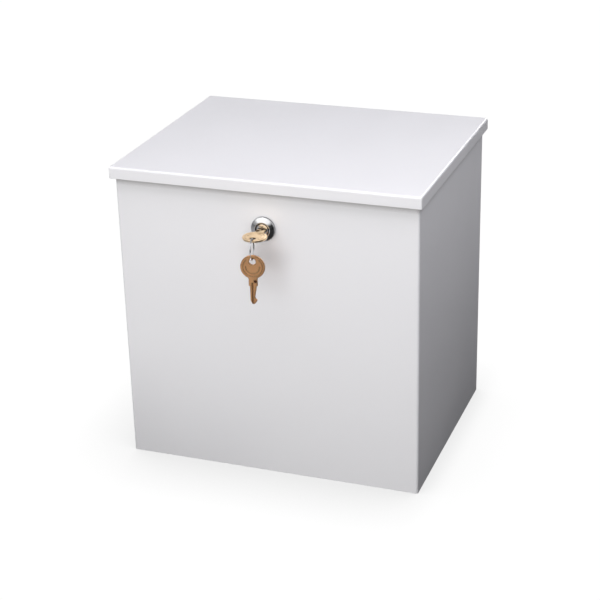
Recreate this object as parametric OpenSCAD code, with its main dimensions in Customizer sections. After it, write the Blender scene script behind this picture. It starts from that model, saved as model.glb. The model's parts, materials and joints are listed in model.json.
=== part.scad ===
// Lockable steel drop box for returned books.
// The origin is the centre of the footprint on the floor. The lock faces -Y, the deposit slot faces +Y.

/* [Box] */
// Width of the body across the front
body_w = 305; // [300:1:340]
// Depth of the body from the lock side to the slot side
body_d = 240; // [220:1:280]
// Height from the floor to the top of the lid
total_h = 311; // [260:1:400]
// Thickness of the sheet steel
sheet = 1.2; // [1:0.1:1.4]
// Outside radius of the folds in the sheet
fold_r = 2.4; // [2:0.1:3]
// Width of the folded edges round the mouth and down the back
flange_w = 12; // [10:1:13]
// Spacing across the width of the bolt-down holes
bolt_x = 200; // [120:10:240]
// Spacing from front to back of the bolt-down holes
bolt_y = 140; // [80:10:160]
// Radius of the bolt-down holes
bolt_r = 3.5; // [2.5:0.5:4.5]

/* [Lid] */
// How far the lid stands out past each side
lid_side = 3.7; // [3:0.1:6]
// How far the lid stands out past the front
lid_front = 6; // [4:0.5:8]
// How far the lid stands out past the back
lid_back = 4; // [3:0.1:4.2]
// Height of the lid's folded lip
lip_h = 12; // [8:1:16]
// Gap under the lid that the bumpers fill
lid_gap = 1.3; // [1.1:0.1:1.5]

/* [Hinge] */
// Length of the hinge
hinge_len = 260; // [130:130:260]
// Number of knuckles along the hinge
knuckles = 13; // [5:2:21]
// Radius of the hinge pin
pin_r = 1.25; // [1:0.05:1.3]

/* [Deposit slot] */
// Width of the slot in the sheet
slot_w = 250; // [200:5:250]
// Height of the slot in the sheet
slot_h = 64; // [40:1:70]
// Depth of the slot's upper edge below the top of the lid
slot_drop = 35; // [35:1:60]

/* [Lock] */
// Depth of the lock's axis below the top of the lid
lock_drop = 49; // [48:0.5:52]
// Diameter of the lock's head
head_d = 24; // [22:1:26]
// Diameter of the threaded barrel
barrel_d = 19; // [18:1:19]
// Diameter of the plug
plug_d = 12; // [12:0.5:13]
// Reach of the cam from the lock's axis to its tip
cam_reach = 38; // [34:1:39]

/* [Keys] */
// Diameter of the key's round bow
bow_d = 23.4; // [22:0.2:25]
// Distance from the end of the bow to the shoulder
bow_to_shoulder = 31; // [29:0.5:33]
// Thickness of the key
key_t = 2; // [1.8:0.1:2.1]
// Turn of the hanging ring and spare key away from square
hang_yaw = 12; // [0:1:20]

/* [Hidden] */
$fn = 64;

powder_white = [0.90, 0.90, 0.91];
zinc = [0.72, 0.73, 0.74];
chrome = [0.80, 0.81, 0.83];
brass = [0.78, 0.58, 0.36];
black_rubber = [0.10, 0.10, 0.11];

eps = 0.01;          // overshoot of a cutting shape past the face that it opens
fit = 0.05;          // radial running clearance
seat = 0.02;         // gap between pieces that are held face to face
half_w = body_w / 2;
half_d = body_d / 2;
lid_under = total_h - sheet;
wall_top = lid_under - lid_gap;
panel_in = half_d - sheet;          // inner face of the back panel
wall_in = -half_d + sheet;          // inner face of the front wall

// Shapes shared by several pieces -------------------------------------------------

// A rectangle centred on the origin with round corners
module round_rect(w, h, r) {
    square([w - 2 * r, h], center = true);
    square([w, h - 2 * r], center = true);
    for (x = [-1, 1], y = [-1, 1])
        translate([x * (w / 2 - r), y * (h / 2 - r)]) circle(r);
}

// A box given by its low corner and its high corner
module block(low, high) {
    translate(low) cube(high - low);
}

// Turns a shape so that its +Z points along +X, from x
module along_x(x, y, z) {
    translate([x, y, z]) rotate([0, 90, 0]) children();
}

// Turns a shape so that its +Z points along +Y, from y. Its own -Y then points up
module along_y(x, y, z) {
    translate([x, y, z]) rotate([-90, 0, 0]) children();
}

// Body: one folded wrap, a back panel and a floor ----------------------------------

wrap_d = body_d - sheet;            // the back panel closes the last sheet thickness
mouth_front = -half_d + 10;         // edge of the narrower flange over the lock
pan_h = 18;

module wrap_outline(inset) {
    translate([0, -sheet / 2])
        round_rect(body_w - 2 * inset, wrap_d - 2 * inset, fold_r - inset);
}

// Front and sides in one piece, with folded edges down the back and round the mouth
module body_wrap() color(powder_white) difference() {
    union() {
        linear_extrude(wall_top) difference() {
            wrap_outline(0);
            wrap_outline(sheet);
        }
        translate([0, 0, wall_top - sheet]) linear_extrude(sheet) wrap_outline(sheet / 2);
    }
    block([-half_w + flange_w, mouth_front, wall_top - 2 * sheet],
        [half_w - flange_w, half_d, wall_top + eps]);
    block([-half_w + flange_w, half_d - 4 * sheet, -eps], [half_w - flange_w, half_d, wall_top]);
    lock_hole();
}

lock_z = total_h - lock_drop;
barrel_r = barrel_d / 2;
flat_half = barrel_r - 1.5;         // the barrel's two flats stop it turning in the wall

module double_d(r, half, h) {
    intersection() {
        cylinder(r = r, h = h);
        block([-half, -r - 1, 0], [half, r + 1, h]);
    }
}

module lock_hole() {
    along_y(0, -half_d - 1, lock_z) double_d(barrel_r + fit, flat_half + fit, sheet + 2);
}

slot_top = total_h - slot_drop;
slot_mid = slot_top - slot_h / 2;
slot_r = 8;                         // corner radius of the slot
rivet_r = 1.6;
rivet_x = [for (i = [-1.5, -0.5, 0.5, 1.5]) i * hinge_len * 0.3];
rivet_z = wall_top - 14.5;

module rivet_holes(y) {
    for (x = rivet_x) along_y(x, y, rivet_z) cylinder(r = rivet_r + fit, h = sheet + 2);
}

module back_panel() color(powder_white) difference() {
    union() {
        block([-half_w + 1, panel_in, 0], [half_w - 1, half_d, wall_top]);
        block([-half_w + flange_w + 0.5, half_d - 11, wall_top - sheet],
            [half_w - flange_w - 0.5, half_d, wall_top]);
    }
    along_y(0, panel_in - 1, slot_mid) linear_extrude(sheet + 2) round_rect(slot_w, slot_h, slot_r);
    rivet_holes(panel_in - 1);
}

// Floor with turned-up edges, let into the foot of the walls
module bottom_pan() color(powder_white) {
    side = half_w - sheet - fit;
    back = panel_in - sheet - fit;
    front = wall_in + fit;
    difference() {
        translate([0, (front + back) / 2]) difference() {
            linear_extrude(pan_h) round_rect(2 * side, back - front, fold_r);
            translate([0, 0, sheet]) linear_extrude(pan_h)
                round_rect(2 * (side - sheet), back - front - 2 * sheet, fold_r - sheet);
        }
        for (x = [-1, 1], y = [-1, 1])
            translate([x * bolt_x / 2, y * bolt_y / 2, -1]) cylinder(r = bolt_r, h = sheet + 2);
    }
}

// Lid --------------------------------------------------------------------------------

lid_w = body_w + 2 * lid_side;
lid_y0 = -half_d - lid_front;
lid_y1 = half_d + lid_back;
corner_r = 1.6;                     // radius of the ground corners between the lips

// A rectangle with its two upper corners round
module dome_rect(x0, x1, y0, y1, r) {
    translate([x0, y0]) square([x1 - x0, y1 - y0 - r]);
    translate([x0 + r, y0]) square([x1 - x0 - 2 * r, y1 - y0]);
    for (x = [x0 + r, x1 - r]) translate([x, y1 - r]) circle(r);
}

// Lid form: rounded across, rounded at the front, with ground corners
module lid_form(inset) {
    top = total_h - inset;
    low = total_h - lip_h - (inset > 0 ? 1 : 0);
    half = lid_w / 2 - inset;
    front = lid_y0 + inset;
    back = lid_y1 + (inset > 0 ? 1 : 0);
    r = fold_r - inset;
    intersection() {
        along_y(0, front - 1, 0) mirror([0, 1, 0]) linear_extrude(back - front + 1)
            dome_rect(-half, half, low, top, r);
        translate([-half - 1, 0, 0]) rotate([90, 0, 90]) linear_extrude(2 * half + 2)
            dome_rect(front, back + 2 * r, low, top, r);
        translate([0, 0, low - 1]) linear_extrude(top - low + 2)
            translate([0, (front + back) / 2 + corner_r])
            round_rect(2 * half, back - front + 2 * corner_r, max(corner_r - inset, 0.4));
    }
}

// Top, front lip and two side lips in one folded piece. The back edge has no lip
module lid_pan() color(powder_white) difference() {
    lid_form(0);
    lid_form(sheet);
    block([-half_w * 2, lid_y1, 0], [half_w * 2, lid_y1 + 20, total_h + 1]);
}

pad_r = 4;                          // radius of the pads under the lid
catch_t = 1.5;
catch_x = [15, 40];
catch_top = 20;                     // depth of the catch's welded top
cam_t = 2.2;
cam_half = 7;
barrel_end = -half_d + 19;          // inner end of the lock's barrel
stop_y = barrel_end + fit;
cam_y = stop_y + 1 + fit;
catch_y = cam_y + cam_t + 3.3;      // the web hangs behind the cam
ledge_top = lock_z - cam_half - 0.8;

// Welded under the lid. The locked cam lies over its ledge and holds the lid down
module lid_catch() color(zinc) {
    high = lid_under - seat;
    block([catch_x[0], catch_y, high - catch_t], [catch_x[1], catch_y + catch_top, high]);
    block([catch_x[0], catch_y, ledge_top - catch_t], [catch_x[1], catch_y + catch_t, high]);
    block([catch_x[0], cam_y - 1, ledge_top - catch_t], [catch_x[1], catch_y + catch_t, ledge_top]);
}

// Rubber pads on the lid's underside that land on the mouth's edge
module lid_bumpers() color(black_rubber) {
    side_x = half_w - flange_w / 2;
    spots = [[-side_x, -half_d * 0.7], [side_x, -half_d * 0.7], [-side_x, half_d * 0.5],
        [side_x, half_d * 0.5], [-half_w * 0.6, -half_d + 5.2], [half_w * 0.6, -half_d + 5.2]];
    for (p = spots) translate([p[0], p[1], wall_top + seat]) cylinder(r = pad_r, h = lid_gap - 2 * seat);
}

// Hinge ------------------------------------------------------------------------------

leaf_t = 1;
leaf_w = 25;                        // width of the lid's leaf from the hinge's axis
leaf_drop = 7;                      // how far the body's leaf reaches below its rivets
knuckle_r = pin_r + fit + leaf_t;
hinge_y = half_d + knuckle_r;
hinge_z = lid_under - knuckle_r - 0.2;
pitch = hinge_len / knuckles;
knuckle_gap = 0.3;
relief = knuckle_r + 0.5;           // how far a leaf stays back from the other leaf's knuckles

module knuckle_row(first) {
    for (i = [first:2:knuckles - 1])
        along_x(-hinge_len / 2 + i * pitch + knuckle_gap / 2, hinge_y, hinge_z)
            cylinder(r = knuckle_r, h = pitch - knuckle_gap);
}

module pin_bore() {
    along_x(-hinge_len / 2 - 1, hinge_y, hinge_z) cylinder(r = pin_r + fit, h = hinge_len + 2);
}

// Leaf riveted to the outside of the back panel
module hinge_leaf_body() color(zinc) difference() {
    near = half_d + seat;
    far = half_d + leaf_t;
    union() {
        knuckle_row(0);
        block([-hinge_len / 2, near, rivet_z - leaf_drop], [hinge_len / 2, far, hinge_z - relief]);
        for (i = [0:2:knuckles - 1]) {
            x = -hinge_len / 2 + i * pitch + knuckle_gap / 2;
            block([x, near, hinge_z - relief - 1], [x + pitch - knuckle_gap, far, hinge_z]);
        }
    }
    pin_bore();
    rivet_holes(half_d - 1);
}

// Leaf welded flat under the lid
module hinge_leaf_lid() color(zinc) difference() {
    low = lid_under - leaf_t;
    high = lid_under - seat;
    union() {
        knuckle_row(1);
        block([-hinge_len / 2, hinge_y - leaf_w, low], [hinge_len / 2, hinge_y - relief, high]);
        for (i = [1:2:knuckles - 1]) {
            x = -hinge_len / 2 + i * pitch + knuckle_gap / 2;
            block([x, hinge_y - relief - 1, low], [x + pitch - knuckle_gap, hinge_y, high]);
        }
    }
    pin_bore();
}

module hinge_pin() color(chrome)
    along_x(-hinge_len / 2 - 0.5, hinge_y, hinge_z) cylinder(r = pin_r, h = hinge_len + 1);

// Blind rivets: a domed head outside, a set tail inside
module hinge_rivets() color(zinc)
    for (x = rivet_x) along_y(x, panel_in - 2, rivet_z) rotate_extrude()
        polygon([[0, 0], [2.2, 0], [2.5, 0.5], [2.2, 2 - seat], [rivet_r, 2 - seat],
            [rivet_r, 2 + sheet + leaf_t + seat], [3.1, 2 + sheet + leaf_t + seat],
            [2.8, 2.6 + sheet + leaf_t], [1.6, 3.1 + sheet + leaf_t], [0, 3.25 + sheet + leaf_t]]);

// Deposit slot -----------------------------------------------------------------------

trim_lip = 4;
trim_t = 1.5;
flap_t = 1;
rod_r = 2.5;
curl_r = rod_r + fit + 1.2;
flap_face = panel_in - trim_t - 0.1;            // outer face of the closed flap
rod_y = flap_face - curl_r;
rod_z = slot_top + trim_lip + curl_r + 2.25;
flap_half = slot_w / 2 + 3;
flap_low = slot_top - slot_h - trim_lip - 3;
ear_x = flap_half + 0.6;
ear_t = 1.5;
ear_half = 6;                       // half height of an ear
foot_d = 8;                         // depth of the flap's folded foot
rod_end = ear_x + ear_t + 2.5;      // the rod stands out past its ears
clip_r = 3.7;
clip_t = 0.8;

// Soft channel pushed over the slot's cut edge
module slot_trim() color(black_rubber) difference() {
    union() {
        along_y(0, panel_in - trim_t, slot_mid) linear_extrude(trim_t - seat)
            round_rect(slot_w + 2 * trim_lip, slot_h + 2 * trim_lip, slot_r + trim_lip);
        along_y(0, half_d + seat, slot_mid) linear_extrude(trim_t - seat)
            round_rect(slot_w + 2 * trim_lip, slot_h + 2 * trim_lip, slot_r + trim_lip);
        along_y(0, panel_in - trim_t / 2, slot_mid) linear_extrude(sheet + trim_t)
            round_rect(slot_w - 2 * seat, slot_h - 2 * seat, slot_r - seat);
    }
    along_y(0, panel_in - trim_t - 1, slot_mid) linear_extrude(sheet + 2 * trim_t + 2)
        round_rect(slot_w - 2 * trim_t, slot_h - 2 * trim_t, slot_r - trim_t);
}

// Gravity flap with a rolled top edge and a folded foot
module deposit_flap() color(powder_white) difference() {
    union() {
        along_x(-flap_half, rod_y, rod_z) cylinder(r = curl_r, h = 2 * flap_half);
        block([-flap_half, flap_face - flap_t, flap_low], [flap_half, flap_face, rod_z]);
        block([-flap_half, flap_face - foot_d, flap_low], [flap_half, flap_face, flap_low + flap_t]);
    }
    along_x(-flap_half - 1, rod_y, rod_z) cylinder(r = rod_r + fit, h = 2 * flap_half + 2);
}

module flap_rod() color(zinc)
    along_x(-rod_end, rod_y, rod_z) cylinder(r = rod_r, h = 2 * rod_end);

// Two ears welded inside the back panel, one at each end of the rod
module flap_brackets() color(zinc) for (side = [0, 1]) mirror([side, 0, 0]) difference() {
    union() {
        block([ear_x, rod_y - 5, rod_z - ear_half], [ear_x + ear_t, panel_in - seat, rod_z + ear_half]);
        block([ear_x, panel_in - ear_t, rod_z - ear_half],
            [half_w - flange_w - 2, panel_in - seat, rod_z + ear_half]);
    }
    along_x(ear_x - 1, rod_y, rod_z) cylinder(r = rod_r + fit, h = ear_t + 2);
}

// Push-on washers that keep the rod in its ears
module rod_clips() color(zinc) for (side = [0, 1]) mirror([side, 0, 0])
    along_x(ear_x + ear_t + fit, rod_y, rod_z) difference() {
        cylinder(r = clip_r, h = clip_t);
        translate([0, 0, -1]) cylinder(r = rod_r + seat, h = clip_t + 2);
    }

// Cam lock ---------------------------------------------------------------------------

head_r = head_d / 2;
plug_r = plug_d / 2;
bezel_h = 4.6;                      // height of the head above the wall
rim_h = 2.5;                        // height of the head's outer rim
crown_r = plug_r + 1.5;             // radius of the crest of the head
recess_r = plug_r + 1.1;            // radius of the sunk ring round the plug
recess_d = 1.4;
plug_face = -half_d - bezel_h + 0.6;   // the plug sits a little inside the head
tang = 6;                           // the plug's square end that drives the cam
tang_end = cam_y + cam_t + 0.3;
stop_tab = [1.5, 7.0, 8.6];         // half width, inner and outer radius of the stop's tab

// Conical head, barrel with two flats, and a cut-out at the inner end for the stop's tab
module lock_housing() color(chrome) difference() {
    union() {
        along_y(0, -half_d - bezel_h, lock_z) rotate_extrude() polygon([
            [0, bezel_h - seat], [head_r, bezel_h - seat], [head_r, bezel_h - rim_h],
            [head_r - 0.4, bezel_h - rim_h - 0.3], [crown_r, 0], [recess_r, 0], [recess_r, recess_d],
            [0, recess_d]]);
        along_y(0, -half_d - 1, lock_z) double_d(barrel_r, flat_half, barrel_end + half_d + 1);
    }
    along_y(0, -half_d - bezel_h - 1, lock_z) cylinder(r = plug_r + fit, h = bezel_h + 22);
    along_y(0, barrel_end - 2.2, lock_z) difference() {
        block([-stop_tab[0] - 0.1, -barrel_r - 1, 0], [barrel_r + 1, stop_tab[0] + 0.1, 4]);
        translate([0, 0, -1]) cylinder(r = stop_tab[1] - 0.05, h = 6);
    }
}

washer_y = wall_in + seat;
washer_r = 12.6;
washer_t = 0.8;
nut_y = washer_y + washer_t + seat;
nut_flats = 24;                     // distance across the nut's flats
nut_h = 5;

module ring_plate(r_out, r_in, h) difference() {
    cylinder(r = r_out, h = h);
    translate([0, 0, -1]) cylinder(r = r_in, h = h + 2);
}

module lock_washer() color(zinc)
    along_y(0, washer_y, lock_z) ring_plate(washer_r, barrel_r + fit, washer_t);

module lock_nut() color(zinc) along_y(0, nut_y, lock_z) difference() {
    cylinder(r = nut_flats / sqrt(3), h = nut_h, $fn = 6);
    translate([0, 0, -1]) cylinder(r = barrel_r + fit, h = nut_h + 2);
}

key_slot_w = 7.4;
key_slot_h = key_t + 0.4;
blade_l = 18.5;
wafer_t = 1;
wafer_n = 5;
wafer_half_z = 3;
wafer_half_x = 5.1;
wafer_y = [for (i = [0:wafer_n - 1]) plug_face + 4.5 + i * 2.8];

// Turning core with a keyway, slots for the wafers and a square end for the cam
module lock_plug() color(chrome) difference() {
    union() {
        along_y(0, plug_face, lock_z) rotate_extrude()
            polygon([[0, 0], [plug_r - 0.4, 0], [plug_r, 0.4], [plug_r, barrel_end - plug_face],
                [0, barrel_end - plug_face]]);
        block([-tang / 2, barrel_end - 1, lock_z - tang / 2], [tang / 2, tang_end, lock_z + tang / 2]);
    }
    block([-key_slot_w / 2, plug_face - 1, lock_z - key_slot_h / 2],
        [key_slot_w / 2, plug_face + blade_l + 0.4, lock_z + key_slot_h / 2]);
    for (y = wafer_y)
        block([-plug_r - 1, y - fit, lock_z - wafer_half_z - fit],
            [plug_r + 1, y + wafer_t + fit, lock_z + wafer_half_z + fit]);
    along_y(0, tang_end - 6.5, lock_z) cylinder(r = 2, h = 7);
}

// Five thin plates with a window for the key's blade
module lock_wafers() color(brass) for (y = wafer_y) difference() {
    block([-wafer_half_x, y, lock_z - wafer_half_z], [wafer_half_x, y + wafer_t, lock_z + wafer_half_z]);
    block([-key_slot_w / 2, y - 1, lock_z - key_slot_h / 2],
        [key_slot_w / 2, y + wafer_t + 1, lock_z + key_slot_h / 2]);
}

module square_hole(h) {
    half = tang / 2 + fit;
    block([-half, -half, -1], [half, half, h + 1]);
}

// Its tab runs in the barrel's cut-out and stops the plug after a quarter turn
module stop_washer() color(zinc) along_y(0, stop_y, lock_z) {
    difference() {
        cylinder(r = stop_tab[2], h = 1);
        square_hole(1);
    }
    block([-stop_tab[0], -stop_tab[2] + 0.1, -2], [stop_tab[0], -stop_tab[1], 0.5]);
}

// Flat arm that points up when open and out over the catch's ledge when locked
module cam() color(zinc) along_y(0, cam_y, lock_z) difference() {
    union() {
        cylinder(r = 9, h = cam_t);
        block([-cam_half, -cam_reach + cam_half, 0], [cam_half, 0, cam_t]);
        translate([0, -cam_reach + cam_half, 0]) cylinder(r = cam_half, h = cam_t);
    }
    square_hole(cam_t);
}

module cam_washer() color(zinc)
    along_y(0, tang_end + seat, lock_z) ring_plate(5, 2.05, 0.6);

screw_y = tang_end + 0.6 + 2 * seat;

module cam_screw() color(zinc) difference() {
    along_y(0, screw_y, lock_z) union() {
        rotate_extrude() polygon([[0, 0], [3.8, 0], [3.8, 1.4], [3.1, 2.1], [0, 2.4]]);
        translate([0, 0, -6.4]) cylinder(r = 1.95, h = 6.5);
    }
    block([-4, screw_y + 1.3, lock_z - 0.5], [4, screw_y + 3, lock_z + 0.5]);
    block([-0.5, screw_y + 1.3, lock_z - 4], [0.5, screw_y + 3, lock_z + 4]);
}

// Keys and ring ----------------------------------------------------------------------

bow_r = bow_d / 2;
bow_v = bow_to_shoulder - bow_r;    // the bow's centre above the shoulder
hole_r = 3.1;
hole_v = bow_to_shoulder - 6.3;     // the hole's centre above the shoulder
neck_half = 4.25;
groove_x = -0.6;                    // the middle of the groove in each face of the key
groove_w = 1.7;
groove_d = 0.45;
groove_end = 3;                     // the groove runs out this far above the shoulder
dimple_at = [2.1, 5];               // the drilled dimple in one face
dimple_r = 1.4;
dimple_d = 1.4;
ring_r = 10;                        // radius to the middle of the ring's wire
wire_r = 0.7;
shoulder_y = plug_face - 0.1;
hole_at = [0, shoulder_y - hole_v, lock_z];
hang_out = 5.2;                     // the ring's centre lies this far out from the key's hole
hang_down = 7.9;                    // and this far below it
out_dir = [sin(hang_yaw), -cos(hang_yaw), 0];
ring_at = hole_at + hang_out * out_dir - [0, 0, hang_down];
spare_hole_z = ring_at[2] - ring_r + wire_r + 0.12 - hole_r;

// Key blank with its shoulder at the origin, its blade along -Y and its cuts on +X
module key_form() difference() {
    translate([0, 0, -key_t / 2]) union() {
        translate([0, bow_v, 0]) cylinder(r = bow_r, h = key_t);
        block([-neck_half, 0, 0], [neck_half, bow_v, key_t]);
        linear_extrude(key_t) polygon([[-3.1, 1], [3.1, 1], [3.1, 0], [2.9, -3.5], [2.2, -6.2], [1.9, -8.6],
            [1.3, -11.3], [2.1, -12.9], [3.3, -14.2], [3.3, -15], [1.6, -17.4], [0, -blade_l],
            [-1.6, -17.7], [-3.1, -14.4]]);
    }
    translate([0, hole_v, -key_t]) cylinder(r = hole_r, h = 2 * key_t);
    for (side = [0, 1]) mirror([0, 0, side])
        block([groove_x - groove_w / 2, -blade_l - 1, key_t / 2 - groove_d],
            [groove_x + groove_w / 2, groove_end, key_t]);
    translate([dimple_at[0], dimple_at[1], key_t / 2 - dimple_d]) cylinder(r = dimple_r, h = dimple_d + 1);
}

module key_in_lock() color(brass)
    translate([0, shoulder_y, lock_z]) rotate([0, 0, 180]) key_form();

module key_ring() color(chrome)
    translate(ring_at) rotate([0, 90, hang_yaw]) rotate_extrude() translate([ring_r, 0]) circle(wire_r);

module spare_key() color(brass)
    translate([ring_at[0], ring_at[1], spare_hole_z]) rotate([90, 0, hang_yaw])
        translate([0, -hole_v, 0]) key_form();

body_wrap();
back_panel();
bottom_pan();
lid_pan();
lid_catch();
lid_bumpers();
hinge_leaf_body();
hinge_leaf_lid();
hinge_pin();
hinge_rivets();
slot_trim();
deposit_flap();
flap_rod();
flap_brackets();
rod_clips();
lock_housing();
lock_washer();
lock_nut();
lock_plug();
lock_wafers();
stop_washer();
cam();
cam_washer();
cam_screw();
key_in_lock();
key_ring();
spare_key();
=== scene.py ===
import json
import math

import bmesh
import bpy
from mathutils import Matrix, Vector

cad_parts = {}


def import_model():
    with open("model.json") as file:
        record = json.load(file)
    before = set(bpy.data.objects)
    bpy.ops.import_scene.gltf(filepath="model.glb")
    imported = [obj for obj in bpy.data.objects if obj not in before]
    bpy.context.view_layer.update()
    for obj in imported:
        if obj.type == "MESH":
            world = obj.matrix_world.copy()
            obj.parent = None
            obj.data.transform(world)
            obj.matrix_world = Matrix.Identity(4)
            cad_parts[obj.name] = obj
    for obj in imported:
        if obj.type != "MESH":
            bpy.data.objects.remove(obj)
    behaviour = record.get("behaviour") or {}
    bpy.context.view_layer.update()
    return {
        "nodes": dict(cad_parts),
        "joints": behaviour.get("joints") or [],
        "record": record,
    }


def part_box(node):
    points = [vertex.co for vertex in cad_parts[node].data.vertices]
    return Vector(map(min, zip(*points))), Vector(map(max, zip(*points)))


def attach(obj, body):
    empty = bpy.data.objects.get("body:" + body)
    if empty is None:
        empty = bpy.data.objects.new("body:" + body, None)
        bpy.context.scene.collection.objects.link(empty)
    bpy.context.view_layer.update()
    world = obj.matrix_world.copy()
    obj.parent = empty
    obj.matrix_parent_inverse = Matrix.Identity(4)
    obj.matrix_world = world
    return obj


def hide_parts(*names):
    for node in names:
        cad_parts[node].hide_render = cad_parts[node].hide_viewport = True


# Looks, light and camera for the lockable steel drop box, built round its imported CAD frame.
# Lengths are in metres, and MM turns millimetres into metres. The lock faces -Y, the slot +Y.

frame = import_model()

MM = 0.001
record = frame["record"]
JOINTS = {joint["name"]: joint for joint in frame["joints"]}
BODY_OF = {node: body for body, nodes in record["behaviour"]["bodies"].items() for node in nodes}
SLOT_OF = {row["node"]: row["material_slot"] for row in record["subparts"]}

lock_at = Vector(JOINTS["lock_turn"]["pos_m"])
hinge_at = Vector(JOINTS["lid_hinge"]["pos_m"])
rod_at = Vector(JOINTS["flap_swing"]["pos_m"])
ring_at = Vector(JOINTS["spare_key_swing"]["pos_m"])
ring_axis = Vector(JOINTS["spare_key_swing"]["axis"])
wall_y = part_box("body_wrap")[0].y
lid_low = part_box("lid_pan")[0].z


# Node helpers ------------------------------------------------------------------------

class Nodes:
    """Adds nodes to one node tree and links them."""

    def __init__(self, tree):
        self.tree = tree

    def add(self, kind, inputs=(), **settings):
        """A new node; inputs maps a socket's name or number to a value or to another node's output."""
        node = self.tree.nodes.new("ShaderNode" + kind)
        for key, value in settings.items():
            setattr(node, key, value)
        for key, value in dict(inputs).items():
            if isinstance(value, bpy.types.NodeSocket):
                self.tree.links.new(value, node.inputs[key])
            else:
                node.inputs[key].default_value = value
        return node

    def calc(self, operation, *values):
        return self.add("Math", dict(enumerate(values)), operation=operation).outputs[0]

    def span(self, value, low, high, to_low=0.0, to_high=1.0):
        """value mapped from low..high to to_low..to_high with a smooth start and end."""
        inputs = {"Value": value, "From Min": low, "From Max": high, "To Min": to_low, "To Max": to_high}
        return self.add("MapRange", inputs, interpolation_type="SMOOTHSTEP").outputs["Result"]

    def blend(self, share, first, second):
        """Colour first where share is 0 and second where it is 1."""
        return self.add("Mix", {0: share, 6: first, 7: second}, data_type="RGBA").outputs[2]

    def choose(self, share, first, second):
        """Shader first where share is 0 and second where it is 1."""
        return self.add("MixShader", {0: share, 1: first, 2: second}).outputs[0]

    def noise(self, place, scale, detail=2.0, stretch=(1, 1, 1)):
        stretched = self.add("Mapping", {"Vector": place, "Scale": stretch}).outputs[0]
        return self.add("TexNoise", {"Vector": stretched, "Scale": scale, "Detail": detail}).outputs[0]

    def bump(self, height, distance, strength=1.0, under=None):
        inputs = {"Height": height, "Distance": distance, "Strength": strength}
        if under is not None:
            inputs["Normal"] = under
        return self.add("Bump", inputs).outputs[0]

    def grey(self, tone, blue=1.0):
        """A grey colour from one number, its blue scaled a little."""
        return self.add("CombineColor", {0: tone, 1: tone, 2: self.calc("MULTIPLY", tone, blue)}).outputs[0]

    def edges(self, radius):
        """1 along convex and concave edges, 0 on open faces."""
        soft = self.add("Bevel", {"Radius": radius}, samples=4).outputs[0]
        plain = self.add("NewGeometry").outputs["Normal"]
        same = self.add("VectorMath", {0: soft, 1: plain}, operation="DOT_PRODUCT").outputs["Value"]
        return self.span(same, 0.995, 0.86)


def rgb(red, green, blue):
    return (red, green, blue, 1.0)


def new_material(name):
    """A material, its node helper, its Principled shader and the object's own coordinates."""
    material = bpy.data.materials.new(name)
    material.use_nodes = True
    nodes = Nodes(material.node_tree)
    shader = material.node_tree.nodes["Principled BSDF"]
    place = nodes.add("TexCoord").outputs["Object"]
    return material, nodes, shader, place


def set_inputs(nodes, shader, inputs):
    for name, value in inputs.items():
        if isinstance(value, bpy.types.NodeSocket):
            nodes.tree.links.new(value, shader.inputs[name])
        else:
            shader.inputs[name].default_value = value


# Materials ---------------------------------------------------------------------------

def powder_coat():
    """White satin powder coat: orange peel, a slow drift in tone, edges rubbed thin, painted shade under
    the lid's overhang.
    """
    material, nodes, shader, place = new_material("powder_coat")
    drift = nodes.noise(place, 7, 3)
    specks = nodes.span(nodes.noise(place, 900, 1), 0.66, 0.74)
    rub = nodes.calc("MULTIPLY", nodes.edges(0.5 * MM), nodes.span(nodes.noise(place, 160, 3), 0.35, 0.7))
    tone = nodes.blend(drift, rgb(0.800, 0.800, 0.815), rgb(0.830, 0.828, 0.838))
    tone = nodes.blend(nodes.calc("MULTIPLY", specks, 0.06), tone, rgb(0.62, 0.62, 0.62))
    tone = nodes.blend(nodes.calc("MULTIPLY", rub, 0.35), tone, rgb(0.93, 0.93, 0.94))
    # Painted shade: a thin dark band on the walls just below the lid's lip, where the lid shelters them
    # within 9 mm.
    shelter = nodes.add("AmbientOcclusion", {"Distance": 9 * MM}, samples=8).outputs["AO"]
    height = nodes.add("SeparateXYZ", {0: place}).outputs[2]
    under_lid = nodes.span(height, lid_low - 12 * MM, lid_low - 6 * MM, 0.0, 0.85)
    under_lid_shade = nodes.calc("MULTIPLY", nodes.span(shelter, 0.95, 0.83), under_lid)
    tone = nodes.blend(under_lid_shade, tone, rgb(0.28, 0.26, 0.26))
    sheen = nodes.span(nodes.noise(place, 30, 4), 0.3, 0.7, 0.40, 0.50)
    peel = nodes.bump(nodes.noise(place, 620, 2), 0.03 * MM, 0.5)
    grain = nodes.bump(nodes.noise(place, 2600, 1), 0.008 * MM, 0.5, peel)
    set_inputs(nodes, shader, {"Base Color": tone, "Roughness": sheen, "Normal": grain,
                               "Coat Weight": 0.25, "Coat Roughness": 0.3})
    return material


def zinc_plate():
    """Bright zinc: drawn lines, cloudy patches and a faint blue and straw tint."""
    material, nodes, shader, place = new_material("zinc_plate")
    cloud = nodes.noise(place, 45, 4)
    lines = nodes.noise(place, 260, 4, (0.06, 1, 1))
    tint = nodes.blend(cloud, rgb(0.58, 0.60, 0.64), rgb(0.70, 0.68, 0.62))
    tint = nodes.blend(nodes.calc("MULTIPLY", nodes.edges(0.4 * MM), 0.5), tint, rgb(0.80, 0.80, 0.80))
    rough = nodes.span(nodes.calc("ADD", cloud, nodes.calc("MULTIPLY", lines, 0.6)), 0.5, 1.1, 0.24, 0.44)
    set_inputs(nodes, shader, {"Base Color": tint, "Metallic": 1.0, "Roughness": rough,
                               "Normal": nodes.bump(lines, 0.02 * MM, 0.35)})
    return material


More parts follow.
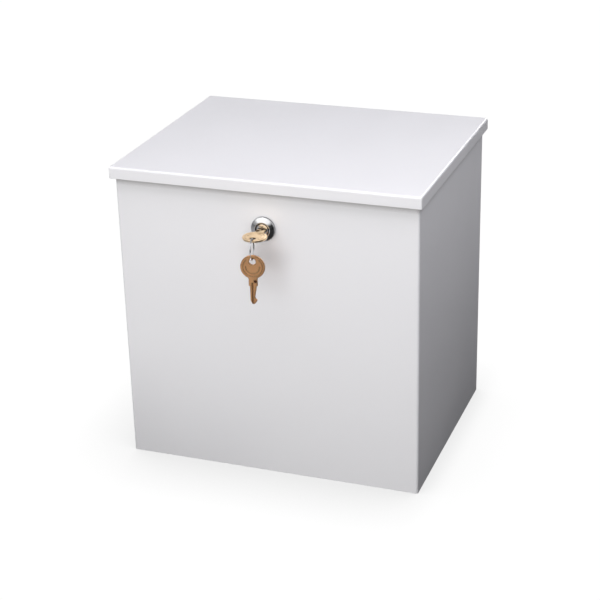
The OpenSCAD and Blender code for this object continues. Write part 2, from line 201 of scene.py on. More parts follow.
def chrome():
    """Polished chrome with hairline scratches, a little haze, and painted shade, near black, where other
    surfaces lie within 4 mm, as round the head's rim by the wall.
    """
    material, nodes, shader, place = new_material("chrome")
    haze = nodes.noise(place, 120, 4)
    scratch = nodes.noise(place, 900, 3, (1, 0.12, 1))
    tint = nodes.blend(haze, rgb(0.68, 0.68, 0.69), rgb(0.78, 0.78, 0.80))
    # Painted shade: the chrome turns near black where it is hemmed in, darkening the lock head's rim next
    # to the wall.
    shelter = nodes.add("AmbientOcclusion", {"Distance": 4 * MM}, samples=8).outputs["AO"]
    tint = nodes.blend(nodes.span(shelter, 0.90, 0.66, 0.0, 0.9), tint, rgb(0.04, 0.036, 0.038))
    rough = nodes.span(nodes.calc("ADD", haze, nodes.calc("MULTIPLY", scratch, 0.4)), 0.4, 1.0, 0.06, 0.17)
    set_inputs(nodes, shader, {"Base Color": tint, "Metallic": 1.0, "Roughness": rough,
                               "Normal": nodes.bump(scratch, 0.006 * MM, 0.3)})
    return material


def brass(name, dark, light, edge, painted_edge_share, painted_edge_width):
    """Stamped brass: fine drawn lines, a brown patina in the hollows and a painted edge tone that the
    caller gives.
    """
    material, nodes, shader, place = new_material(name)
    cloud = nodes.noise(place, 130, 4)
    lines = nodes.noise(place, 1500, 3, (1, 0.1, 0.1))
    tint = nodes.blend(cloud, dark, light)
    # Painted edge tone: the edges are blended towards the given colour, lighter as a painted highlight on
    # the key in the lock and dark as painted shade on the spare key.
    tint = nodes.blend(nodes.calc("MULTIPLY", nodes.edges(painted_edge_width), painted_edge_share), tint, edge)
    shelter = nodes.add("AmbientOcclusion", {"Distance": 1.8 * MM}, samples=8).outputs["AO"]
    tint = nodes.blend(nodes.span(shelter, 0.95, 0.62), tint, rgb(0.13, 0.06, 0.03))
    rough = nodes.span(nodes.calc("ADD", cloud, nodes.calc("MULTIPLY", lines, 0.5)), 0.4, 1.1, 0.26, 0.46)
    set_inputs(nodes, shader, {"Base Color": tint, "Metallic": 1.0, "Roughness": rough,
                               "Normal": nodes.bump(lines, 0.01 * MM, 0.4)})
    return material


def key_brass():
    """The yellow brass of the key in the lock, with a painted highlight along its edges."""
    dark, light, edge = rgb(0.89, 0.65, 0.39), rgb(0.98, 0.77, 0.50), rgb(0.95, 0.74, 0.58)
    return brass("key_brass", dark, light, edge, painted_edge_share=0.4, painted_edge_width=0.5 * MM)


def aged_brass():
    """The browner brass of the spare key, with painted shade along its edges."""
    dark, light, edge = rgb(0.90, 0.46, 0.21), rgb(1.00, 0.59, 0.30), rgb(0.22, 0.12, 0.07)
    return brass("aged_brass", dark, light, edge, painted_edge_share=0.85, painted_edge_width=2.2 * MM)


def pad_rubber():
    """Matt black rubber with a moulded grain and a light, dusty bloom."""
    material, nodes, shader, place = new_material("pad_rubber")
    bloom = nodes.span(nodes.noise(place, 60, 4), 0.45, 0.75)
    tone = nodes.blend(bloom, rgb(0.020, 0.020, 0.022), rgb(0.055, 0.053, 0.050))
    rough = nodes.span(bloom, 0, 1, 0.55, 0.78)
    set_inputs(nodes, shader, {"Base Color": tone, "Roughness": rough,
                               "Normal": nodes.bump(nodes.noise(place, 1800, 3), 0.04 * MM, 0.5)})
    return material


MATERIALS = {make.__name__: make() for make in
             (powder_coat, zinc_plate, chrome, key_brass, aged_brass, pad_rubber)}


# Mesh helpers ------------------------------------------------------------------------

def link(name, mesh):
    piece = bpy.data.objects.new(name, mesh)
    bpy.context.scene.collection.objects.link(piece)
    return piece


def mesh_object(name, points, faces):
    """A closed mesh object with coincident points merged and its normals facing out."""
    mesh = bpy.data.meshes.new(name)
    mesh.from_pydata([tuple(point) for point in points], [], faces)
    shape = bmesh.new()
    shape.from_mesh(mesh)
    bmesh.ops.remove_doubles(shape, verts=shape.verts, dist=0.002 * MM)
    bmesh.ops.dissolve_degenerate(shape, edges=shape.edges, dist=0.001 * MM)
    bmesh.ops.recalc_face_normals(shape, faces=shape.faces)
    shape.to_mesh(mesh)
    shape.free()
    return link(name, mesh)


def grid_faces(rows, columns, wrap_rows, wrap_columns):
    """Quads over a grid of points stored row by row."""
    faces = []
    for j in range(rows if wrap_rows else rows - 1):
        for i in range(columns if wrap_columns else columns - 1):
            here, below = j * columns, (j + 1) % rows * columns
            right = (i + 1) % columns
            faces.append((here + i, here + right, below + right, below + i))
    return faces


def turned(name, section, centre, axis="Y", count=96, bend=None):
    """A solid turned about an axis. section holds (radius, distance along the axis) pairs.

    A section that starts and ends on the axis is closed there, and any other one is a closed loop.
    bend(point, angle) may change a point, which has the axis as its own Y.
    """
    points = []
    for radius, along in section:
        for i in range(count):
            angle = 2 * math.pi * i / count
            point = Vector((radius * math.cos(angle), along, radius * math.sin(angle)))
            points.append(bend(point, angle) if bend else point)
    on_axis = section[0][0] == 0 and section[-1][0] == 0
    piece = mesh_object(name, points, grid_faces(len(section), count, not on_axis, True))
    turn = {"X": Matrix.Rotation(-math.pi / 2, 4, "Z"), "Y": Matrix.Identity(4),
            "Z": Matrix.Rotation(math.pi / 2, 4, "X")}[axis]
    piece.data.transform(Matrix.Translation(centre) @ turn)
    return piece


def swept(name, path, section, closed):
    """A section of (out, across) pairs carried along a path of (point, out, across) frames."""
    points = [point + out * u + across * v for point, out, across in path for u, v in section]
    faces = grid_faces(len(path), len(section), closed, True)
    if not closed:
        last = (len(path) - 1) * len(section)
        faces += [tuple(range(len(section))), tuple(range(last, last + len(section)))]
    return mesh_object(name, points, faces)


def arc(centre, radius, start, end, count):
    """Points along an arc in the plane, from start to end in degrees, both included."""
    angles = [math.radians(start + (end - start) * i / count) for i in range(count + 1)]
    return [(centre[0] + radius * math.cos(a), centre[1] + radius * math.sin(a)) for a in angles]


def rounded_outline(corners, radius, count=4):
    """A polygon with each corner replaced by a curve that starts and ends radius away from it."""
    outline = []
    for i, corner in enumerate(corners):
        here = Vector(corner)
        before = (Vector(corners[i - 1]) - here).normalized() * radius
        after = (Vector(corners[(i + 1) % len(corners)]) - here).normalized() * radius
        for k in range(count + 1):
            t = k / count
            outline.append(tuple(here + before * (1 - t) ** 2 + after * t ** 2))
    return outline


def prism(name, outline, low, high):
    """An upright solid along Y from an outline of (x, z) pairs."""
    count = len(outline)
    points = [Vector((x, y, z)) for y in (low, high) for x, z in outline]
    faces = grid_faces(2, count, False, True) + [tuple(range(count)), tuple(range(count, 2 * count))]
    return mesh_object(name, points, faces)


def apply_modifiers(piece):
    bpy.context.view_layer.update()
    graph = bpy.context.evaluated_depsgraph_get()
    piece.data = bpy.data.meshes.new_from_object(piece.evaluated_get(graph))
    piece.modifiers.clear()


def boolean(piece, tools, operation):
    """Adds the tools to a piece or cuts them out of it, and removes the tools."""
    for tool in tools:
        modifier = piece.modifiers.new("boolean", "BOOLEAN")
        modifier.operation = operation
        modifier.solver = "EXACT"
        modifier.object = tool
    apply_modifiers(piece)
    for tool in tools:
        bpy.data.objects.remove(tool)


def joined(name, parts):
    """Several separate solids as one object."""
    shape = bmesh.new()
    for part in parts:
        shape.from_mesh(part.data)
        bpy.data.objects.remove(part)
    mesh = bpy.data.meshes.new(name)
    shape.to_mesh(mesh)
    shape.free()
    return link(name, mesh)


def smooth(piece, angle=35):
    piece.data.shade_smooth()
    piece.data.set_sharp_from_angle(angle=math.radians(angle))


def round_edges(piece, width, segments=2, angle=32):
    """Rounds every sharp edge and keeps the flat faces flat."""
    weld = piece.modifiers.new("weld", "WELD")
    weld.merge_threshold = 0.002 * MM
    bevel = piece.modifiers.new("rounded_edges", "BEVEL")
    bevel.width = width
    bevel.segments = segments
    bevel.limit_method = "ANGLE"
    bevel.angle_limit = math.radians(angle)
    bevel.miter_outer = "MITER_ARC"
    normals = piece.modifiers.new("flat_faces", "WEIGHTED_NORMAL")
    normals.keep_sharp = False


def stand_for(piece, node, finish=None):
    """Shows a finished piece in place of the CAD node of the same part."""
    piece.data.materials.clear()
    piece.data.materials.append(MATERIALS[finish or SLOT_OF[node]])
    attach(piece, BODY_OF[node])
    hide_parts(node)


def solids_of(node):
    """The low and high corner of each separate solid of a CAD node, from left to right."""
    shape = bmesh.new()
    shape.from_mesh(frame["nodes"][node].data)
    bmesh.ops.remove_doubles(shape, verts=shape.verts, dist=0.002 * MM)
    left, boxes = set(shape.verts), []
    while left:
        found, edge = set(), {next(iter(left))}
        while edge:
            found |= edge
            edge = {e.other_vert(v) for v in edge for e in v.link_edges} - found
        left -= found
        sides = [[v.co[axis] for v in found] for axis in range(3)]
        boxes.append((Vector(map(min, sides)), Vector(map(max, sides))))
    shape.free()
    return sorted(boxes, key=lambda ends: tuple(round(c, 4) for c in ends[0]))


# CAD nodes that keep their shape and get rounded edges ---------------------------------

# In mm.
EDGE_RADIUS = {"body_wrap": 0.35, "back_panel": 0.35, "bottom_pan": 0.35, "lid_pan": 0.35,
               "lid_catch": 0.25, "hinge_leaf_body": 0.18, "hinge_leaf_lid": 0.18,
               "deposit_flap": 0.3, "flap_brackets": 0.25, "lock_plug": 0.12, "lock_wafers": 0.08,
               "stop_washer": 0.12, "cam": 0.3, "lock_washer": 0.15, "cam_washer": 0.1}


def dress_cad_nodes():
    for name, node in frame["nodes"].items():
        node.data.materials.clear()
        node.data.materials.append(MATERIALS[SLOT_OF[name]])
        if name in EDGE_RADIUS:
            round_edges(node, EDGE_RADIUS[name] * MM)


# Lock --------------------------------------------------------------------------------

THREAD_PITCH = 1.25 * MM
THREAD_DEPTH = 0.35 * MM
BARREL_R = 9.5 * MM
BARREL_FLAT = 8.0 * MM
STOP_ROOM = 1.6 * MM
STOP_INNER_R = 6.95 * MM
STOP_DEPTH = 2.2 * MM
HEAD_RIM_H = 2.2 * MM
HEAD_EDGE_R = 0.45 * MM
CONE_SWELL = 1.08
ROUND_OFF = 0.001 * MM


def cut_flats(point):
    """The point moved onto the barrel's nearer flat if it lies outside the two."""
    return Vector((max(-BARREL_FLAT, min(BARREL_FLAT, point.x)), point.y, point.z))


def lock_housing():
    """Conical head, threaded barrel with two flats, and the cut-out in which the stop's tab turns."""
    low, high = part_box("lock_housing")
    head_r = (high.x - low.x) / 2
    bore_r = (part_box("lock_plug")[1].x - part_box("lock_plug")[0].x) / 2 + 0.05 * MM
    crest_r, base_y = bore_r + 1.45 * MM, wall_y - 0.02 * MM
    recess_r, recess_y = bore_r + 1.05 * MM, low.y + 1.4 * MM
    cone_r, rim_y = head_r - HEAD_EDGE_R, base_y - HEAD_RIM_H
    section = [(bore_r, recess_y), (recess_r, recess_y), (recess_r, low.y + 0.15 * MM)]
    section += [(recess_r + 0.05 * MM, low.y + 0.04 * MM), (recess_r + 0.15 * MM, low.y)]
    cone = 12
    for i in range(cone + 1):
        share = i / cone
        radius = crest_r + (cone_r - crest_r) * share
        section.append((radius, low.y + (rim_y - HEAD_EDGE_R - low.y) * share ** CONE_SWELL))
    section += arc((cone_r, rim_y), HEAD_EDGE_R, -75, 0, 5)
    section += [(head_r, base_y - 0.3 * MM), (head_r - 0.1 * MM, base_y - 0.08 * MM)]
    section += [(head_r - 0.3 * MM, base_y)]
    neck = [(BARREL_R, base_y), (BARREL_R, base_y + 1.6 * MM)]
    rows = int((high.y - 0.6 * MM - neck[1][1]) / THREAD_PITCH * 8)
    thread = [(BARREL_R, neck[1][1] + THREAD_PITCH * i / 8) for i in range(1, rows + 1)]
    end = [(BARREL_R - 0.4 * MM, high.y), (bore_r + 0.15 * MM, high.y), (bore_r, high.y - 0.15 * MM)]
    thread_start, thread_end = thread[0][1], thread[-1][1]

    def shape(point, angle):
        radius = math.hypot(point.x, point.z)
        on_barrel = point.y > base_y - ROUND_OFF and abs(radius - BARREL_R) < ROUND_OFF
        if on_barrel and thread_start < point.y < thread_end:
            turn = (point.y / THREAD_PITCH + angle / (2 * math.pi)) % 1
            share = 1 - THREAD_DEPTH * (0.5 + 0.5 * math.cos(2 * math.pi * turn)) / BARREL_R
            point = Vector((point.x * share, point.y, point.z * share))
        return cut_flats(point) if on_barrel or point.y > base_y + ROUND_OFF else point

    centre = Vector((lock_at.x, 0, lock_at.z))
    piece = turned("lock_housing_turned", section + neck + thread + end, centre, count=128, bend=shape)
    far = BARREL_R + 1 * MM
    low_angle = -math.degrees(math.asin(STOP_ROOM / STOP_INNER_R))
    outline = arc((0, 0), STOP_INNER_R, low_angle, 90 - low_angle, 16)
    outline += [(-STOP_ROOM, far), (far, far), (far, -STOP_ROOM)]
    room = prism("stop_room", outline, high.y - STOP_DEPTH, high.y + 1 * MM)
    room.data.transform(Matrix.Translation(centre))
    boolean(piece, [room], "DIFFERENCE")
    smooth(piece, 30)
    stand_for(piece, "lock_housing")


def lock_nut():
    """Hexagon nut with both rims chamfered."""
    low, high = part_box("lock_nut")
    flat_r = min((high.x - low.x), (high.z - low.z)) / 2
    turned_30 = (high.x - low.x) > (high.z - low.z)
    bore_r = BARREL_R + 0.05 * MM
    rim = 0.9 * MM
    section = [(bore_r, low.y + 0.5 * MM), (bore_r + 0.5 * MM, low.y), (flat_r + 0.1 * MM, low.y)]
    section += [(flat_r + (i + 1) * 0.45 * MM, low.y + rim * (i + 1) / 4) for i in range(4)]
    section += [(flat_r + (4 - i) * 0.45 * MM, high.y - rim * (4 - i) / 4) for i in range(4)]
    section += [(flat_r + 0.1 * MM, high.y), (bore_r + 0.5 * MM, high.y), (bore_r, high.y - 0.5 * MM)]

    def hexagon(point, angle):
        radius = math.hypot(point.x, point.z)
        if radius < flat_r:
            return point
        offset = 0 if turned_30 else math.pi / 6
        side = (angle + offset) % (math.pi / 3) - math.pi / 6
        limit = flat_r / math.cos(side)
        return Vector((point.x, 0, point.z)) * min(1, limit / radius) + Vector((0, point.y, 0))

    piece = turned("lock_nut_chamfered", section, Vector((lock_at.x, 0, lock_at.z)), count=96, bend=hexagon)
    smooth(piece, 25)
    stand_for(piece, "lock_nut")


def cam_screw():
    """Pan-head screw with a cross recess."""
    low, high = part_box("cam_screw")
    head_r = (high.x - low.x) / 2
    head_h, dome_h = 2.4 * MM, 1.5 * MM
    shank_r = 1.95 * MM
    recess_half_w, recess_half_l, recess_depth = 0.5 * MM, 2.3 * MM, 1.2 * MM
    under = high.y - head_h
    dome_y = high.y - dome_h
    section = [(0, low.y), (shank_r - 0.4 * MM, low.y), (shank_r, low.y + 0.5 * MM), (shank_r, under)]
    section += [(head_r - 0.15 * MM, under), (head_r, under + 0.2 * MM), (head_r, dome_y)]
    dome = 8
    for i in range(1, dome + 1):
        angle = math.pi / 2 * i / dome
        section.append((head_r * math.cos(angle), dome_y + dome_h * math.sin(angle)))
    section[-1] = (0, high.y)
    centre = Vector((lock_at.x, 0, lock_at.z))
    piece = turned("cam_screw_cross", section, centre, count=48)
    arms = []
    for half_x, half_z in ((recess_half_w, recess_half_l), (recess_half_l, recess_half_w)):
        outline = [(-half_x, -half_z), (half_x, -half_z), (half_x, half_z), (-half_x, half_z)]
        arms.append(prism("recess", outline, high.y - recess_depth, high.y + 1 * MM))
        arms[-1].data.transform(Matrix.Translation(centre))
    boolean(piece, arms, "DIFFERENCE")
    smooth(piece)
    stand_for(piece, "cam_screw")


# Keys and ring -------------------------------------------------------------------------

BLADE_L = 18.5 * MM
KEY_T = 2.0 * MM
KEY_EDGE = 0.28 * MM

# In the key's own plane, in mm: x across it and y along it, with the shoulder at 0 and the bow above.
NECK_HALF_W = 4.25
NECK_FILLET = 2.2
BOW_R = 11.7
BOW_Y = 19.3
HOLE_R = 3.1
HOLE_Y = 24.7
GROOVE_X = -0.6
DIMPLE_X, DIMPLE_Y = 2.1, 5.0


def key_outline():
    """The key's edge, from the shoulder round the bow and back along the blade, shoulder at the origin."""
    neck, fillet_x = NECK_HALF_W, NECK_HALF_W + NECK_FILLET
    fillet_y = BOW_Y - math.sqrt((BOW_R + NECK_FILLET) ** 2 - fillet_x ** 2)
    meet = math.degrees(math.atan2(fillet_y - BOW_Y, fillet_x))
    right_fillet = arc((fillet_x, fillet_y), NECK_FILLET, 180, 180 + meet, 6)
    bow = arc((0, BOW_Y), BOW_R, meet, 180 - meet, 60)
    left_fillet = [(-x, y) for x, y in reversed(right_fillet)]
    left_edge = [(-neck, 0.5), (-neck + 0.5, 0), (-3.1, 0), (-3.1, -14.4)]
    tip = [(-1.6, -17.7), (0, -18.5), (1.6, -17.4), (3.3, -15), (3.3, -14.2)]
    cuts = [(2.1, -12.9), (1.3, -11.3), (1.9, -8.6), (2.2, -6.2), (2.9, -3.5)]
    blade = left_edge + tip + cuts + [(3.1, 0), (neck - 0.5, 0), (neck, 0.5)]
    return [(x * MM, y * MM) for x, y in right_fillet + bow + left_fillet + blade]


def key_blank(name):
    """A stamped key in its own plane: shoulder at the origin, blade along -Y, face up."""
    curve = bpy.data.curves.new(name, "CURVE")
    curve.dimensions = "2D"
    curve.fill_mode = "BOTH"
    curve.extrude = KEY_T / 2 - KEY_EDGE
    curve.bevel_depth = KEY_EDGE
    curve.bevel_resolution = 2
    curve.offset = -KEY_EDGE
    hole = [(x * MM, y * MM) for x, y in arc((0, HOLE_Y), HOLE_R, 0, 360, 40)[:-1]]
    for outline in (key_outline(), hole):
        spline = curve.splines.new("POLY")
        spline.points.add(len(outline) - 1)
        spline.use_cyclic_u = True
        for point, (x, y) in zip(spline.points, outline):
            point.co = (x, y, 0, 1)
    source = link(name + "_curve", curve)
    bpy.context.view_layer.update()
    graph = bpy.context.evaluated_depsgraph_get()
    mesh = bpy.data.meshes.new_from_object(source.evaluated_get(graph))
    bpy.data.objects.remove(source)
    shape = bmesh.new()
    shape.from_mesh(mesh)
    bmesh.ops.remove_doubles(shape, verts=shape.verts, dist=0.003 * MM)
    bmesh.ops.recalc_face_normals(shape, faces=shape.faces)
    shape.to_mesh(mesh)
    shape.free()
    return link(name, mesh)


def raised_arc(radius, start, end, face):
    """A raised line on the bow, concentric with it. face is 1 or -1."""
    bow_at = Vector((0, BOW_Y * MM, 0))
    middle = arc((bow_at.x, bow_at.y), radius * MM, start, end, 40)
    across = Vector((0, 0, face))
    path = []
    for x, y in middle:
        out = (Vector((x, y, 0)) - bow_at).normalized()
        path.append((Vector((x, y, face * (KEY_T / 2 - 0.1 * MM))), out, across))
    section = [(u * 0.45 * MM, v * 0.36 * MM) for u, v in arc((0, 0), 1, 0, 360, 12)[:-1]]
    return swept("raised_arc", path, section, False)


def milled_groove(face):
    """A round-bottomed groove down the blade that runs out in the neck."""
    radius, depth = 1.0 * MM, 0.5 * MM
    height = face * (KEY_T / 2 + radius - depth)
    run_out = height + face * depth
    along = [(y * MM, height) for y in (-20, -16, -8, 0, 2, 3)] + [(3.8 * MM, run_out)]
    path = [(Vector((GROOVE_X * MM, y, z)), Vector((1, 0, 0)), Vector((0, 0, 1))) for y, z in along]
    section = [(radius * u, radius * v) for u, v in arc((0, 0), 1, 0, 360, 24)[:-1]]
    return swept("milled_groove", path, section, False)


def key(name, node, place, finish):
    """One key of the pair, with its stamped arcs, milled grooves and dimple."""
    piece = key_blank(name)
    relief = ((9.3, 130, 410), (6.6, 175, 365))
    arcs = [raised_arc(radius, start, end, face) for face in (1, -1) for radius, start, end in relief]
    boolean(piece, arcs, "UNION")
    section = [(0, -1.4), (1.2, -1.2), (1.4, -1.0), (1.4, 0.5), (0, 0.5)]
    dimple = turned("dimple", [(r * MM, depth * MM) for r, depth in section],
                    Vector((DIMPLE_X * MM, DIMPLE_Y * MM, KEY_T / 2)), axis="Z", count=24)
    boolean(piece, [milled_groove(1), milled_groove(-1), dimple], "DIFFERENCE")
    piece.data.transform(place)
    smooth(piece, 28)
    stand_for(piece, node, finish)


def keys():
    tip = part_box("key_in_lock")[1].y
    place = Matrix.Translation((lock_at.x, tip - BLADE_L, lock_at.z)) @ Matrix.Rotation(math.pi, 4, "Z")
    key("key_in_lock_stamped", "key_in_lock", place, "key_brass")
    yaw = math.atan2(ring_axis.y, ring_axis.x)
    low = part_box("spare_key")[0].z
    place = Matrix.Translation((ring_at.x, ring_at.y, low + BLADE_L))
    place = place @ Matrix.Rotation(yaw, 4, "Z") @ Matrix.Rotation(math.pi / 2, 4, "X")
    key("spare_key_stamped", "spare_key", place, "aged_brass")


def key_ring():
    """Split ring: two turns of half-round wire side by side, with one step between them."""
    wire_r = 0.7 * MM
    coil_half_t, coil_half_w, coil_pitch = 0.64 * MM, 0.32 * MM, 0.68 * MM
    ring_r = (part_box("key_ring")[1].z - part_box("key_ring")[0].z) / 2 - wire_r
    side = Vector((-ring_axis.y, ring_axis.x, 0))
    step = math.radians(46)
    step_at = math.radians(200)
    turns = 2 * 2 * math.pi - step
    path = []
    count = 190
    for i in range(count + 1):
        travelled = turns * i / count
        share = min(1, max(0, (travelled - (2 * math.pi - step)) / step))
        shift = (share * share * (3 - 2 * share) - 0.5) * coil_pitch
        angle = step_at + step / 2 + travelled
        out = side * math.cos(angle) + Vector((0, 0, math.sin(angle)))
        path.append((ring_at + out * ring_r + ring_axis * shift, out, ring_axis))
    section = [(coil_half_t * u, coil_half_w * v) for u, v in arc((0, 0), 1, 0, 360, 16)[:-1]]
    piece = swept("split_ring", path, section, False)
    smooth(piece, 40)
    stand_for(piece, "key_ring")


# Hinge, pads, slot trim and rod ---------------------------------------------------------

def hinge_pin():
    """Pin with lightly peened ends."""
    low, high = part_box("hinge_pin")
    radius = (high.z - low.z) / 2
    section = [(0, low.x), (radius * 0.7, low.x + 0.05 * MM), (radius, low.x + 0.35 * MM)]
    section += [(radius, high.x - 0.35 * MM), (radius * 0.7, high.x - 0.05 * MM), (0, high.x)]
    piece = turned("hinge_pin_peened", section, Vector((0, hinge_at.y, hinge_at.z)), axis="X", count=32)
    smooth(piece)
    stand_for(piece, "hinge_pin")


def hinge_rivets():
    """Blind rivets: a low domed flange with a mandrel pit outside, a set tail inside."""
    parts = []
    for low, high in solids_of("hinge_rivets"):
        top, tail, shank, pit = 3.1 * MM, 2.5 * MM, 1.6 * MM, 0.9 * MM
        seat, tail_end = high.y - 1.03 * MM, low.y + 1.98 * MM
        dome_y, dome_h = seat + 0.12 * MM, 0.85 * MM
        section = [(0, low.y), (tail * 0.75, low.y), (tail, low.y + 0.6 * MM), (tail * 0.86, tail_end)]
        section += [(shank, tail_end), (shank, seat), (top - 0.1 * MM, seat), (top, dome_y)]
        for i in range(1, 8):
            angle = math.pi / 2 * i / 8
            section.append((pit + (top - pit) * math.cos(angle), dome_y + dome_h * math.sin(angle)))
        section += [(pit, dome_y + dome_h), (0.75 * MM, seat + 0.5 * MM), (0, seat + 0.45 * MM)]
        centre = Vector(((low.x + high.x) / 2, 0, (low.z + high.z) / 2))
        parts.append(turned("rivet", section, centre, count=32))
    piece = joined("hinge_rivets_domed", parts)
    smooth(piece)
    stand_for(piece, "hinge_rivets")


def lid_bumpers():
    """Stick-on rubber pads with rounded rims."""
    parts = []
    for low, high in solids_of("lid_bumpers"):
        radius, rim_r = (high.x - low.x) / 2, (high.z - low.z) * 0.5
        section = [(0, low.z), (radius * 0.6, low.z + 0.03 * MM)]
        for angle in (0.3, 0.7, 1.1, 1.57):
            rise = rim_r - rim_r * math.cos(angle)
            section.append((radius - rim_r + rim_r * math.sin(angle), low.z + rise))
        section += [(radius, high.z - 0.1 * MM), (radius - 0.1 * MM, high.z), (0, high.z)]
        centre = Vector(((low.x + high.x) / 2, (low.y + high.y) / 2, 0))
        parts.append(turned("pad", section, centre, axis="Z", count=40))
    piece = joined("lid_bumpers_moulded", parts)
    smooth(piece)
    stand_for(piece, "lid_bumpers")


def slot_trim():
    """Rubber channel with round lips, pushed over the slot's cut edge."""
    low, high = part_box("slot_trim")
    lip, wall, corner = 4 * MM, 1.5 * MM, 12 * MM
    centre = (low + high) / 2
    half_w, half_h = (high.x - low.x) / 2, (high.z - low.z) / 2
    corners = []
    for sx, sz, start in ((1, 1, 0), (-1, 1, 90), (-1, -1, 180), (1, -1, 270)):
        middle = (sx * (half_w - corner), sz * (half_h - corner))
        corners += [(middle, start + 90 * i / 12) for i in range(13)]
    path = []
    for (x, z), angle in corners:
        out = Vector((math.cos(math.radians(angle)), 0, math.sin(math.radians(angle))))
        path.append((Vector((centre.x + x, centre.y, centre.z + z)), out, Vector((0, 1, 0))))
    half_t = (high.y - low.y) / 2
    sheet_half = 0.62 * MM
    outer, inner, web = corner, corner - lip - wall, corner - lip - 0.02 * MM
    section = rounded_outline([(inner, -half_t), (outer, -half_t), (outer, -sheet_half), (web, -sheet_half),
                               (web, sheet_half), (outer, sheet_half), (outer, half_t), (inner, half_t)],
                              0.4 * MM, 4)
    piece = swept("slot_trim_moulded", path, section, True)
    smooth(piece, 50)
    stand_for(piece, "slot_trim")


def flap_rod():
    """Turned rod with chamfered ends."""
    low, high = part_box("flap_rod")
    radius = (high.z - low.z) / 2
    end = [(0, 0), (radius - 0.5 * MM, 0), (radius, 0.5 * MM)]
    section = [(r, low.x + along) for r, along in end] + [(r, high.x - along) for r, along in reversed(end)]
    piece = turned("flap_rod_turned", section, Vector((0, rod_at.y, rod_at.z)), axis="X", count=48)
    smooth(piece)
    stand_for(piece, "flap_rod")


def rod_clips():
    """Push-on washers with a domed rim and six spring teeth."""
    parts = []
    bore, tallest = 2.53, 0.8
    rows = ((bore, 0.45), (bore, 0.78), (2.9, tallest), (3.3, 0.55),
            (3.7, 0.35), (3.7, 0.02), (3.3, 0.0), (2.9, 0.25))
    for low, high in solids_of("rod_clips"):
        out = 1 if low.x > 0 else -1
        base, height = low.x if out > 0 else high.x, high.x - low.x
        section = [(r * MM, base + out * along * height / tallest) for r, along in rows]

        def teeth(point, angle):
            radius = math.hypot(point.x, point.z)
            gap = max(0, math.cos(6 * angle)) * max(0, 1 - (radius - bore * MM) / (0.5 * MM))
            share = 1 + gap * 0.28 * MM / radius
            return Vector((point.x * share, point.y, point.z * share))

        centre = Vector((0, rod_at.y, rod_at.z))
        parts.append(turned("clip", section, centre, axis="X", count=72, bend=teeth))
    piece = joined("rod_clips_toothed", parts)
    smooth(piece)
    stand_for(piece, "rod_clips")


# Studio --------------------------------------------------------------------------------

def floor():
    """Plain pale floor: clear white to the camera but for a painted shadow close to the box, with painted
    tones, dark near the box, as a reflector and in mirrors.
    """
    reach, level = 6.0, -0.3 * MM
    mesh = bpy.data.meshes.new("floor")
    corners = [(x * reach, y * reach, level) for x, y in ((-1, -1), (1, -1), (1, 1), (-1, 1))]
    mesh.from_pydata(corners, [], [(0, 1, 2, 3)])
    piece = link("floor", mesh)
    material = bpy.data.materials.new("pale_floor")
    material.use_nodes = True
    material.node_tree.nodes.clear()
    nodes = Nodes(material.node_tree)
    ray = nodes.add("LightPath")
    place = nodes.add("SeparateXYZ", {0: nodes.add("TexCoord").outputs["Object"]})
    x, y = place.outputs[0], place.outputs[1]
    # As a reflector the floor is painted dark, but for the far right. Shiny parts mirror it painted bright
    # in front on the left and far behind, and dark elsewhere.
    lit = nodes.span(x, 0.15, 0.75, 0.05, 0.55)
    behind = nodes.span(y, 0.15, 0.85, 0.03, 0.50)
    slanted = nodes.calc("ADD", x, nodes.calc("MULTIPLY", y, 0.5))
    mirrored = nodes.calc("MAXIMUM", behind, nodes.span(slanted, -0.22, -0.10, 0.42, 0.03))
    # The camera sees a faint painted shadow close to the box, and none from the light flag.
    around = nodes.add("AmbientOcclusion", {"Distance": 0.10}, samples=8).outputs["AO"]
    open_sky = nodes.calc("MAXIMUM", around, nodes.span(y, -0.24, -0.29))
    beside = nodes.span(x, 0.15, 0.18, 0.83, 0.95)
    glow = nodes.add("MapRange", {"Value": open_sky, "From Min": 0.5, "To Min": beside, "To Max": 1.02})
    seen = nodes.add("Emission", {"Strength": glow.outputs[0]}).outputs[0]
    lit_shader, mirrored_shader = [
        nodes.add("BsdfDiffuse", {"Color": nodes.grey(tone)}).outputs[0] for tone in (lit, mirrored)]
    unseen = nodes.choose(ray.outputs["Is Glossy Ray"], lit_shader, mirrored_shader)
    both = nodes.choose(ray.outputs["Is Camera Ray"], unseen, seen)
    nodes.add("OutputMaterial", {"Surface": both})
    mesh.materials.append(material)


def world():
    """White to the camera; a soft tent of light with a darker right side to everything else."""
    studio = bpy.data.worlds.new("studio")
    studio.use_nodes = True
    studio.node_tree.nodes.clear()
    nodes = Nodes(studio.node_tree)
    ray = nodes.add("LightPath")
    x, y, z = nodes.add("SeparateXYZ", {0: nodes.add("TexCoord").outputs["Generated"]}).outputs
    lit = nodes.span(x, -0.3, 0.85, 0.56, 0.13)
    in_front = nodes.span(y, 0.40, 0.05)
    overhead = nodes.calc("MULTIPLY", in_front, nodes.span(z, 0.08, 0.36, 0.0, 1.15))
    behind = nodes.span(y, 0.0, 0.8, 0.03, 0.42)
    level = nodes.calc("MAXIMUM", behind, nodes.span(x, -0.6, 0.5, 0.42, 0.03))
    mirrored = nodes.calc("ADD", overhead, level)
    lit_sky = nodes.add("Background", {"Color": nodes.grey(lit, 1.04)}).outputs[0]
    mirrored_sky = nodes.add("Background", {"Color": nodes.grey(mirrored)}).outputs[0]
    unseen = nodes.choose(ray.outputs["Is Glossy Ray"], lit_sky, mirrored_sky)
    white = nodes.add("Background", {"Color": rgb(1, 1, 1), "Strength": 1.05}).outputs[0]
    both = nodes.choose(ray.outputs["Is Camera Ray"], unseen, white)
    nodes.add("OutputWorld", {"Surface": both})
    bpy.context.scene.world = studio


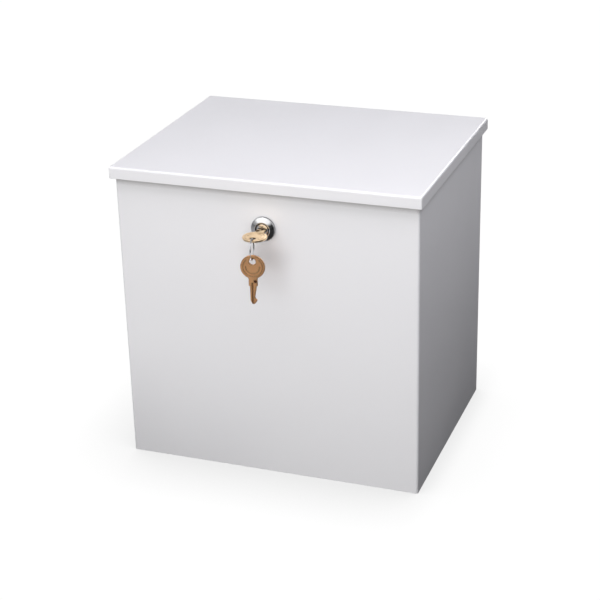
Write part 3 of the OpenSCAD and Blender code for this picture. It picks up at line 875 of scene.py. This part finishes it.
def area_light(name, place, aim, size, power, tint=(1, 1, 1), mirrored=False):
    """A soft box. mirrored says whether shiny parts show it."""
    lamp = bpy.data.lights.new(name, "AREA")
    lamp.shape = "RECTANGLE"
    lamp.size, lamp.size_y = size
    lamp.energy = power
    light = link(name, lamp)
    light.visible_glossy = mirrored
    lamp.color = tint
    light.location = place
    light.rotation_euler = (Vector(aim) - Vector(place)).to_track_quat("-Z", "Y").to_euler()
    return light


def lights():
    area_light("overhead", (0.10, -0.30, 0.96), (0.05, -0.05, 0.3), (0.9, 0.4), 3.6, (1, 0.985, 1.03), True)
    area_light("front_fill", (-0.04, -0.95, 0.21), (0, 0, 0.19), (1.0, 0.6), 5.5, (1, 0.99, 0.975))
    area_light("side_kick", (0.75, -0.30, 0.85), (0.15, 0, 0.2), (0.3, 0.3), 1.45, (0.99, 0.98, 1.04))
    area_light("back_fill", (-1.0, 1.5, 0.42), (0, 0.1, 0.16), (0.9, 0.6), 14.0)
    rim = area_light("rim", (0.42, 1.6, 1.05), (0.156, 0, 0.31), (0.35, 0.5), 9.0, mirrored=True)
    rim.visible_diffuse = False


def light_flag():
    """A card that keeps some of the front light off the lower left corner, unseen by the camera."""
    mesh = bpy.data.meshes.new("light_flag")
    left, right, y, top = -0.42, -0.125, -0.40, 0.088
    mesh.from_pydata([(left, y, 0), (right, y, 0), (right, y, top), (left, y, top)], [], [(0, 1, 2, 3)])
    card = link("light_flag", mesh)
    card.visible_camera = False
    card.visible_glossy = False


def camera():
    """Three-quarter view from the front right, a little above the box."""
    azimuth, elevation, roll = math.radians(20.375), math.radians(23.644), math.radians(-1.465)
    distance, focal_length = 1.6453, 94.61
    aim = Vector((-9.9 * MM, 0, 136.7 * MM))
    back = Vector((math.sin(azimuth) * math.cos(elevation), -math.cos(azimuth) * math.cos(elevation),
                   math.sin(elevation)))
    level = Vector((math.cos(azimuth), math.sin(azimuth), 0))
    upright = back.cross(level)
    right = level * math.cos(roll) + upright * math.sin(roll)
    up = upright * math.cos(roll) - level * math.sin(roll)
    lens = bpy.data.cameras.new("camera")
    lens.sensor_width = 36.0
    lens.lens = focal_length
    view = link("camera", lens)
    turn = Matrix((right, up, back)).transposed().to_4x4()
    view.matrix_world = Matrix.Translation(aim + back * distance) @ turn
    bpy.context.scene.camera = view


dress_cad_nodes()
lock_housing()
lock_nut()
cam_screw()
keys()
key_ring()
hinge_pin()
hinge_rivets()
lid_bumpers()
slot_trim()
flap_rod()
rod_clips()
floor()
world()
lights()
light_flag()
camera()
bpy.context.scene.view_settings.view_transform = "Standard"
